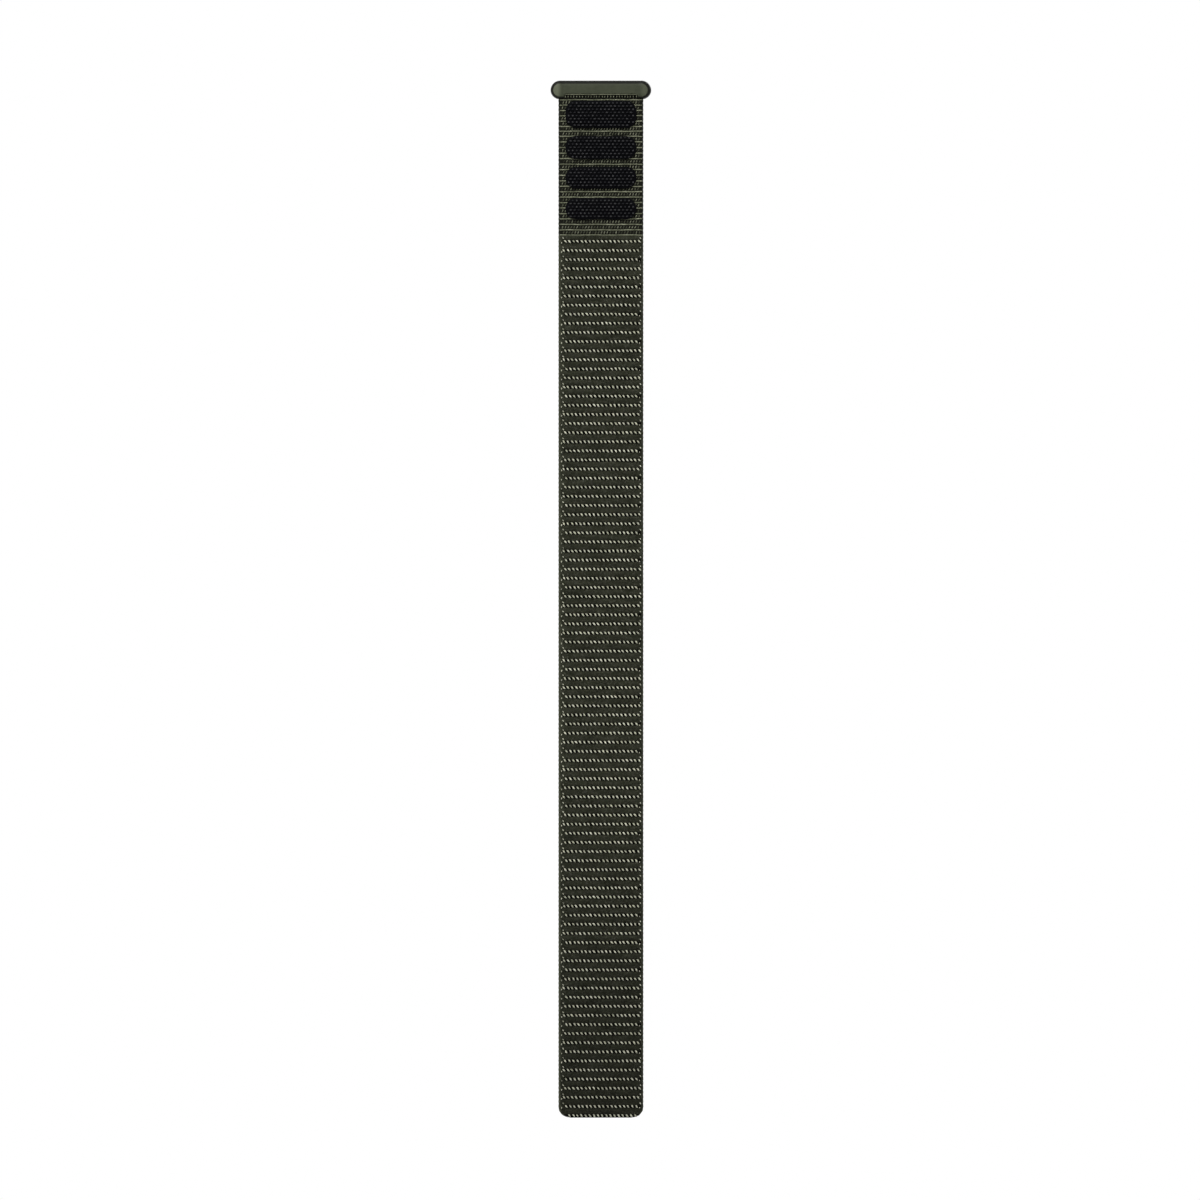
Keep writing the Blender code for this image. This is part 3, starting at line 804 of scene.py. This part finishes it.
def hook_form(height, width_share):
    """One hook: a tapered stem that curls over, its top's middle over the origin."""
    stem = height - HOOK_CURL_RADIUS - HOOK_TIP_RADIUS
    curl = np.linspace(0, HOOK_CURL, HOOK_CURL_STEPS)
    z = np.concatenate([[0, 0], HOOK_CURL_RADIUS * (1 - np.cos(curl))]) - HOOK_CURL_RADIUS
    y = -np.concatenate([[0, stem / 2], stem + HOOK_CURL_RADIUS * np.sin(curl)])
    taper = np.linspace(HOOK_FOOT_RADIUS * HOOK_NECK_SHARE, HOOK_TIP_RADIUS, len(z) - 1)
    form = thread(y, z, np.concatenate([[HOOK_FOOT_RADIUS], taper]), HOOK_SIDES)
    return form._replace(points=form.points * (width_share, 1, 1))


def pad_corner(height):
    return min(PAD_CORNER_RADIUS, height * PAD_CORNER_LIMIT_SHARE)


def hook_places(box, foot_y):
    """Staggered rows of hooks that lean up and down in turn, as two lists of places."""
    low, high = box
    width, height = high.x - low.x, high.z - low.z
    radius = pad_corner(height)
    centre = (low.z + high.z) / 2
    rows = floor((height - 2 * HOOK_EDGE_MARGIN) / HOOK_ROW_PITCH)
    places = ([], [])
    for row in range(rows + 1):
        up = (rows / 2 - row) * HOOK_ROW_PITCH
        inset = max(abs(up) - (height / 2 - radius), 0)
        corner = radius - sqrt(max(radius**2 - inset**2, 0))
        reach = width / 2 - corner - HOOK_EDGE_MARGIN
        odd = row % 2
        shift = odd * HOOK_PITCH / 2
        columns = floor((reach - shift) / HOOK_PITCH)
        x = np.arange(-columns - odd, columns + 1) * HOOK_PITCH + shift
        lean = odd * pi + chance.normal(0, HOOK_LEAN_SPREAD, len(x))
        places[odd].append(placed(x, -foot_y, centre + up, lean))
    return [np.concatenate(rows) for rows in places]


def build_pad(name, body, material):
    """A moulded patch: a thin backing with bevelled edges and rows of hooks."""
    low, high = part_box(name)
    width, height = high.x - low.x, high.z - low.z
    back, face = -high.y, -high.y + PAD_BACKING
    radius = pad_corner(height)
    bevel = PAD_EDGE_ROUND * PAD_BEVEL_SHARE
    insets = ((0, back), (0, face - PAD_EDGE_ROUND), (bevel, face - bevel), (PAD_EDGE_ROUND, face))
    rings = []
    for inset, y in insets:
        size = (width - 2 * inset, height - 2 * inset, radius - inset)
        rings.append(rounded_rectangle(-y, *size, PAD_CORNER_STEPS))
    rings = np.array(rings)
    rings[..., 2] += (low.z + high.z) / 2
    parts = [tube(rings)]
    kinds = zip(hook_places((low, high), face), HOOK_HEIGHT_SHARES, HOOK_WIDTH_SHARES)
    for places, height_share, width_share in kinds:
        hook = hook_form((PILE_FACE - face) * height_share, width_share)
        parts.append(copies(hook, places))
    obj = new_piece(f"{name}_moulded", joined(parts), material, PAD_SHARP_ANGLE)
    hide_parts(name)
    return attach(obj, body)


def squared_off(wave, power):
    """A sine or a cosine as it goes round an oval with flattened sides."""
    return np.sign(wave) * np.abs(wave) ** (2 / power)


def bar_form():
    """The bar as sections along X: flat-fronted with a slight waist, and domed at both ends."""
    run = BAR_HALF_HEIGHT + BAR_CROWN_RISE
    end = BAR_STRAIGHT + run * np.sin(np.linspace(0, np.pi / 2, BAR_END_STEPS))
    end[-1] = BAR_STRAIGHT + run * BAR_END_REACH_SHARE
    middle = np.linspace(-BAR_STRAIGHT, BAR_STRAIGHT, BAR_MIDDLE_STEPS)[1:-1]
    x = np.concatenate([-end[::-1], middle, end])[:, None]
    share = np.sqrt(1 - (np.maximum(np.abs(x) - BAR_STRAIGHT, 0) / run) ** 2)
    waist = BAR_WAIST * smoothstep((BAR_WAIST_HALF_WIDTH - np.abs(x)) / BAR_WAIST_RUN)
    half_depth = bar_high.y * share**BAR_DOME_POWER - waist
    power = BAR_END_POWER + (BAR_CROWN_POWER - BAR_END_POWER) * share
    turn = circle(BAR_SIDES)
    y = half_depth * squared_off(np.cos(turn), power)
    rise = share * squared_off(np.sin(turn), power)
    z = BAR_HALF_HEIGHT * (1 + rise) + BAR_CROWN_RISE * np.maximum(rise, 0)
    return tube(np.stack([x * np.ones_like(y), y, z + bar_low.z], axis=-1))


def box_form(low, high):
    """A box between two corners."""
    ring = [(low[0], low[1]), (high[0], low[1]), (high[0], high[1]), (low[0], high[1])]
    rings = [[(x, y, z) for x, y in ring] for z in (high[2], low[2])]
    return tube(np.array(rings))


def slot_form():
    """The slot that the webbing goes into from below."""
    side = HALF_WIDTH + SLOT_SIDE_CLEARANCE
    top = bar_high.z * SLOT_HEIGHT_SHARE
    return box_form((-side, -SLOT_HALF_DEPTH, -CUT_OVERRUN), (side, SLOT_HALF_DEPTH, top))


def notch_form():
    """The shallow recess in the bar's front, where the webbing comes out."""
    form = (NOTCH_WIDTH, 2 * NOTCH_HEIGHT, NOTCH_CORNER_RADIUS, NOTCH_CORNER_STEPS)
    depths = (-RIB_FACE, bar_low.y - CUT_OVERRUN)
    return tube(np.array([rounded_rectangle(y, *form) for y in depths]))


def cut(obj, forms):
    """Takes closed forms away from a piece."""
    cutters = [add_object(name, new_mesh(name, form)) for name, form in forms.items()]
    for cutter in cutters:
        modifier = obj.modifiers.new(cutter.name, "BOOLEAN")
        modifier.operation = "DIFFERENCE"
        modifier.object = cutter
    graph = bpy.context.evaluated_depsgraph_get()
    mesh = bpy.data.meshes.new_from_object(obj.evaluated_get(graph))
    obj.modifiers.clear()
    obj.data = mesh
    for cutter in cutters:
        bpy.data.objects.remove(cutter)


def build_bar(material):
    """The crowned bar, with its slot for the webbing and the notch in front."""
    obj = new_piece("stopper_bar_moulded", bar_form(), material)
    cut(obj, {"slot": slot_form(), "notch": notch_form()})
    store_rest(obj.data)
    obj.data.shade_smooth()
    obj.data.set_sharp_from_angle(angle=SHARP_ANGLE)
    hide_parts("stopper_bar")
    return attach(obj, "stopper")


def build_hem(material):
    """The webbing's end, looped round the rod inside the bar."""
    low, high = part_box("webbing_hem")
    outer = (high.y - low.y) / 2
    middle = high.z - outer
    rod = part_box("retaining_rod")[1].y
    rings = []
    for reach in (rod * HEM_ROD_CLEARANCE_SHARE, outer):
        for x in (-HALF_WIDTH, HALF_WIDTH):
            turn = circle(HEM_STEPS)[0]
            rings.append([(x, reach * cos(t), middle + reach * sin(t)) for t in turn])
    order = np.array([rings[0], rings[1], rings[3], rings[2], rings[0]])
    obj = new_piece("hem_roll", shell(order), material, SHARP_ANGLE)
    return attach(obj, "stopper")


class Shader:
    """The node tree of a material or the world, with short ways to add nodes."""

    def __init__(self, name, kind=bpy.data.materials, surface="Principled BSDF"):
        self.owner = kind.new(name)
        self.owner.use_nodes = True
        self.tree = self.owner.node_tree
        self.surface = self.tree.nodes[surface]

    def feed(self, socket, value):
        """Gives a socket another node's output, or a plain value."""
        if isinstance(value, bpy.types.NodeSocket):
            self.tree.links.new(value, socket)
        else:
            socket.default_value = (*value, 1) if socket.type == "RGBA" else value

    def add(self, kind, inputs=None, **settings):
        node = self.tree.nodes.new(kind)
        for key, value in settings.items():
            setattr(node, key, value)
        for key, value in (inputs or {}).items():
            self.feed(node.inputs[key], value)
        return node

    def rest(self):
        return self.add("ShaderNodeAttribute", attribute_name="rest").outputs["Vector"]

    def axis(self, name):
        return self.add("ShaderNodeSeparateXYZ", {"Vector": self.rest()}).outputs[name]

    def island(self):
        return self.add("ShaderNodeNewGeometry").outputs["Random Per Island"]

    def noise(self, size, detail=3.0, roughness=0.6, stretch=None):
        """Noise about a size across, longer along an axis whose stretch is small."""
        vector = self.rest()
        if stretch:
            mapping = self.add("ShaderNodeMapping", {"Vector": vector, "Scale": stretch})
            vector = mapping.outputs["Vector"]
        inputs = {"Vector": vector, "Scale": 1 / size, "Detail": detail, "Roughness": roughness}
        return self.add("ShaderNodeTexNoise", inputs).outputs["Fac"]

    def strands(self, direction, size, distortion, detail=2.0):
        """Fine waves, about a size apart."""
        inputs = {"Vector": self.rest(), "Scale": 1 / size, "Distortion": distortion}
        inputs["Detail"] = detail
        return self.add("ShaderNodeTexWave", inputs, bands_direction=direction).outputs["Fac"]

    def ramp(self, factor, stops):
        node = self.add("ShaderNodeValToRGB", {"Fac": factor})
        elements = node.color_ramp.elements
        while len(elements) < len(stops):
            elements.new(0.5)
        for element, (position, colour) in zip(elements, stops):
            element.position = position
            element.color = (*colour, 1)
        return node.outputs["Color"]

    def mix(self, factor, first, second, blend="MIX"):
        node = self.add("ShaderNodeMix", data_type="RGBA", blend_type=blend)
        for index, value in zip(MIX_INPUTS, (factor, first, second)):
            self.feed(node.inputs[index], value)
        return node.outputs[MIX_OUTPUT]

    def shaded(self, colour, factor, shades, share=1.0):
        """A colour that shades make darker or lighter, to a share of their full strength."""
        return self.mix(share, colour, self.ramp(factor, shades), "MULTIPLY")

    def maths(self, operation, *values):
        node = self.add("ShaderNodeMath", operation=operation)
        for socket, value in zip(node.inputs, values):
            self.feed(socket, value)
        return node.outputs[0]

    def ranged(self, value, start, end, low, high):
        """Goes from low to high while a value goes from start to end."""
        inputs = {"Value": value, "From Min": start, "From Max": end, "To Min": low, "To Max": high}
        node = self.add("ShaderNodeMapRange", inputs, interpolation_type="SMOOTHSTEP")
        return node.outputs["Result"]

    def ridges(self, place):
        """1 where a place is a whole number, and 0 halfway between two."""
        angle = self.maths("MULTIPLY", place, pi)
        return self.maths("ABSOLUTE", self.maths("COSINE", angle))

    def finish(self, colour, roughness, height=None, depth=0.03 * MM, specular=0.5, sheen=0):
        inputs = {"Base Color": colour, "Roughness": roughness, "Specular IOR Level": specular}
        inputs["Sheen Weight"] = sheen
        if height is not None:
            settings = {"Height": height, "Strength": 1.0, "Distance": depth}
            inputs["Normal"] = self.add("ShaderNodeBump", settings).outputs["Normal"]
        for name, value in inputs.items():
            self.feed(self.surface.inputs[name], value)
        return self.owner


def bar_rim_shade(look):
    """Where shade is painted: 1 on the bar's rim, 0 inside it, by the distance from its middle line.
    """
    shifted = look.maths("ADD", look.axis("X"), BAR_RIM_SHADE_SHIFT)
    beyond = look.maths("SUBTRACT", look.maths("ABSOLUTE", shifted), BAR_STRAIGHT)
    beyond = look.maths("MAXIMUM", beyond, 0)
    middle = BAR_HALF_HEIGHT + bar_low.z - BAR_RIM_SHADE_SHIFT
    rise = look.maths("SUBTRACT", look.axis("Z"), middle)
    squares = (look.maths("POWER", side, 2) for side in (beyond, rise))
    away = look.maths("SQRT", look.maths("ADD", *squares))
    start, end = (share * BAR_HALF_HEIGHT for share in BAR_RIM_SHADE_RANGE)
    return look.ranged(away, start, end, 0, BAR_RIM_SHADE_SHARE)


def bar_material():
    """Satin moulded nylon: slightly mottled, finely grained, with painted highlights on the ends."""
    look = Shader("bar_satin")
    mottle = look.noise(size=2.6 * MM, detail=4.0)
    grain = look.noise(size=0.12 * MM, detail=2.0)
    x = look.axis("X")
    # Painted highlights on both ends, the left one brighter as though lit from the left
    left_highlight = look.ranged(x, -BAR_HIGHLIGHT_END, -BAR_HIGHLIGHT_START, BAR_HIGHLIGHT_SHARES[0], 0)
    right_highlight = look.ranged(x, BAR_HIGHLIGHT_START, BAR_HIGHLIGHT_END, 0, BAR_HIGHLIGHT_SHARES[1])
    colour = look.ramp(mottle, BAR_TONES)
    colour = look.mix(look.maths("MAXIMUM", left_highlight, right_highlight), colour, BAR_END_PAINTED_HIGHLIGHT)
    # Painted shade: the rim darkened to nearly black
    colour = look.mix(bar_rim_shade(look), colour, BAR_RIM_PAINTED_SHADE)
    rough = look.ranged(mottle, *BAR_MOTTLE_RANGE, *BAR_ROUGHNESSES)
    return look.finish(colour, rough, grain, depth=0.012 * MM, specular=0.1)


def weave_height(look):
    """How high the warp threads lie, in the pattern of the relief on the skin side."""
    first, per_rib = -2 * FIRST_ROW / ROW_PITCH, -2 / ROW_PITCH
    rib = look.maths("MULTIPLY_ADD", look.axis("Z"), per_rib, first)
    parity = look.maths("PINGPONG", look.maths("ROUND", rib), 1)
    column = look.maths("MULTIPLY", look.axis("X"), 1 / WARP_PITCH)
    warp = look.maths("MULTIPLY_ADD", parity, 0.5, column)
    return look.maths("MULTIPLY", look.ridges(rib), look.ridges(warp))


def webbing_material():
    """Tight olive weave with fine fibres, painted shade where its threads dive, on bare parts and
    edges.
    """
    look = Shader("webbing_weave")
    thread_height = weave_height(look)
    mottle = look.noise(size=1.8 * MM, detail=4.0)
    fibre = look.noise(size=0.05 * MM, detail=2.0, roughness=0.7, stretch=(1.0, 1.0, 0.25))
    # Painted shade: darker olive low in the weave, lighter on its high threads
    dark, light = (look.ramp(mottle, tones) for tones in (WEAVE_SHADED_TONES, WEAVE_LIT_TONES))
    colour = look.mix(thread_height, dark, light)
    # Painted shade, nearly black, on the bare front between the cords and floats
    front = look.ranged(look.axis("Y"), *BARE_GAP_SHADE_DEPTHS, BARE_GAP_SHADE_SHARE, 0)
    bare = look.maths("GREATER_THAN", look.axis("Z"), -PILE_START)
    colour = look.mix(look.maths("MULTIPLY", front, bare), colour, BARE_GAP_SHADE)
    # Painted shade along both edges of the webbing
    across = look.maths("ABSOLUTE", look.axis("X"))
    start = HALF_WIDTH - SELVAGE_SHADE_RUN
    selvage_shade = look.ranged(across, start, HALF_WIDTH, 0, SELVAGE_SHADE_SHARE)
    colour = look.mix(selvage_shade, colour, SELVAGE_PAINTED_SHADE)
    colour = look.shaded(colour, fibre, FIBRE_SHADES, share=0.35)
    height = look.maths("ADD", thread_height, fibre)
    return look.finish(colour, 0.85, height, specular=0.06, sheen=0.03)


def cord_material():
    """The paler weft cords, with painted shade where they turn round the selvages."""
    look = Shader("weft_cord")
    tone = look.noise(size=1.4 * MM, detail=4.0, roughness=0.7)
    across = look.maths("ABSOLUTE", look.axis("X"))
    start, end = (HALF_WIDTH - edge for edge in CORD_TURN_SHADE_EDGE)
    turn_shade = look.ranged(across, start, end, 0, CORD_TURN_SHADE_SHARE)
    colour = look.mix(turn_shade, look.ramp(tone, CORD_TONES), CORD_TURN_SHADE)
    strands = look.strands("DIAGONAL", size=0.22 * MM, distortion=1.5)
    return look.finish(colour, 0.75, strands, specular=0.08, sheen=0.03)


def float_material():
    """The dark warp floats, some of which catch the light."""
    look = Shader("warp_float")
    colour = look.ramp(look.island(), FLOAT_TONES)
    strands = look.strands("X", size=0.12 * MM, distortion=1.0)
    return look.finish(colour, 0.8, strands, specular=0.06, sheen=0.03)


def darkened_to_tip(look, colour, at_tip):
    """The pile and its stitches are a little darker towards the free end."""
    start = -TIP_FADE_START_SHARE * STRAP_END
    fade = look.ranged(look.axis("Z"), -STRAP_END, start, at_tip, 1)
    return look.shaded(colour, fade, ((0, BLACK), (1, WHITE)))


def pile_material():
    """Dark olive loop pile, mottled along the rows, with nearly black painted shade in their grooves.
    """
    look = Shader("pile_base")
    bands = look.noise(size=1.6 * MM, detail=4.0, roughness=0.65, stretch=(0.35, 1.0, 1.0))
    fuzz = look.noise(size=0.2 * MM, roughness=0.7)
    colour = darkened_to_tip(look, look.ramp(bands, PILE_TONES), at_tip=0.56)
    colour = look.shaded(colour, fuzz, FUZZ_SHADES, share=0.6)
    # Painted shade in the grooves, from the groove share stored on the pile
    groove = look.add("ShaderNodeAttribute", attribute_name="groove").outputs["Fac"]
    colour = look.mix(look.ranged(groove, 0, 1, 0, GROOVE_SHADE_SHARE), colour, GROOVE_PAINTED_SHADE)
    return look.finish(colour, 0.92, fuzz, depth=0.06 * MM, specular=0.04, sheen=0.04)


def yarn_material():
    """The pile's loops, each of its own tone."""
    look = Shader("pile_yarn")
    bands = look.noise(size=1.9 * MM, stretch=(0.3, 1.0, 1.0))
    colour = darkened_to_tip(look, look.ramp(look.island(), YARN_TONES), at_tip=0.56)
    colour = look.shaded(colour, bands, YARN_BAND_SHADES)
    return look.finish(colour, 0.9, specular=0.05, sheen=0.04)


def stitch_material():
    """Pale undyed thread, each stitch of its own tone, with fine strands."""
    look = Shader("pale_thread")
    tone = look.ramp(look.island(), STITCH_TONES)
    colour = darkened_to_tip(look, tone, at_tip=0.76)
    colour = look.shaded(colour, look.noise(size=0.5 * MM), SOIL_SHADES, share=0.4)
    strands = look.strands("DIAGONAL", size=0.1 * MM, distortion=1.0)
    return look.finish(colour, 0.8, strands, specular=0.1, sheen=0.03)


def hook_material():
    """Black moulded hooks with painted highlights on their tops."""
    look = Shader("hook_moulding")
    black = look.ramp(look.noise(size=1.2 * MM), HOOK_TONES)
    highlight_tone = look.ramp(look.island(), HOOK_TOP_HIGHLIGHT_TONES)
    # Painted highlight: the hooks' tops lighter than their black
    top = look.ranged(look.axis("Y"), -PILE_FACE, -PILE_FACE + HOOK_TOP_HIGHLIGHT_DEPTH, 1, 0)
    colour = look.mix(top, black, highlight_tone)
    grain = look.noise(size=0.1 * MM, detail=2.0)
    return look.finish(colour, 0.6, grain, depth=0.01 * MM, specular=0.02)


def steel_material():
    """Drawn steel with fine lines along the rod."""
    look = Shader("rod_drawn")
    lines = look.noise(size=0.1 * MM, detail=2.0, stretch=(0.03, 1.0, 1.0))
    colour = look.ramp(lines, ROD_TONES)
    look.feed(look.surface.inputs["Metallic"], 1)
    return look.finish(colour, 0.32, lines, depth=0.004 * MM)


def add_camera():
    data = bpy.data.cameras.new("camera")
    data.lens, data.sensor_width = CAMERA_LENS, CAMERA_SENSOR
    camera = add_object("camera", data)
    camera.location = (CAMERA_SIDE, SUBJECT_DEPTH - CAMERA_DISTANCE, CAMERA_HEIGHT)
    camera.rotation_euler = (pi / 2, 0, 0)
    bpy.context.scene.camera = camera


def add_lights():
    """Broad soft lights from far away, so that the strap and the floor are lit evenly."""
    for light in LIGHTS:
        data = bpy.data.lights.new(light.name, "SUN")
        data.angle, data.energy = light.softness, light.strength
        obj = add_object(light.name, data)
        obj.rotation_euler = Vector(light.direction).to_track_quat("Z", "Y").to_euler()


def seen_directly(look):
    """1 where the camera, a reflection or a see-through surface looks, else 0."""
    rays = look.add("ShaderNodeLightPath").outputs
    seen = look.maths("MAXIMUM", rays["Is Camera Ray"], rays["Is Glossy Ray"])
    return look.maths("MAXIMUM", seen, rays["Is Transmission Ray"])


def add_world():
    """White when seen directly, and dim as a light."""
    look = Shader("studio", bpy.data.worlds, "Background")
    bpy.context.scene.world = look.owner
    strength = look.ranged(seen_directly(look), 0, 1, WORLD_LIGHT, 1)
    look.feed(look.surface.inputs["Color"], WHITE)
    look.feed(look.surface.inputs["Strength"], strength)


def floor_material():
    """A pale floor that the camera sees as white, apart from the shadow on it."""
    look = Shader("floor_pale")
    colour = look.ramp(look.noise(size=0.5, detail=1.0), FLOOR_TONES)
    glow = look.maths("MULTIPLY", seen_directly(look), FLOOR_GLOW)
    look.feed(look.surface.inputs["Emission Color"], WHITE)
    look.feed(look.surface.inputs["Emission Strength"], glow)
    return look.finish(colour, 0.9, specular=0.0)


def add_floor():
    form = box_form(
        (-FLOOR_HALF_WIDTH, -FLOOR_HALF_WIDTH, FLOOR_HEIGHT - FLOOR_THICKNESS),
        (FLOOR_HALF_WIDTH, FLOOR_BEHIND, FLOOR_HEIGHT),
    )
    obj = add_object("floor", new_mesh("floor", form))
    obj.data.materials.append(floor_material())


def build_strap(zones):
    """Every soft piece, one zone at a time."""
    webbing, cord, floats = webbing_material(), cord_material(), float_material()
    pile, yarn, stitch = pile_material(), yarn_material(), stitch_material()
    stitch_form, edge_form, loop_forms = stitch_thread(), arched(EDGE_STITCH), yarn_loops()
    float_form = arched(FLOAT)
    for zone in zones:
        build_ribbon(zone, webbing)
        build_bare_face(zone, float_form, cord, floats)
        if zone.bottom > PILE_START:
            build_pile(zone, pile)
            build_stitches(zone, stitch_form, edge_form, stitch)
            build_yarn_loops(zone, loop_forms, yarn)
    build_hem(webbing)


def main():
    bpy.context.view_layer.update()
    add_camera()
    build_strap(plan_zones())
    black = hook_material()
    for body in bodies:
        pad = node_of(body, "pad")
        if pad:
            build_pad(pad, body, black)
    build_bar(bar_material())
    rod = frame["nodes"]["retaining_rod"]
    rod.data.materials.clear()
    rod.data.materials.append(steel_material())
    add_lights()
    add_world()
    add_floor()
    bpy.context.scene.view_settings.view_transform = "Standard"


main()
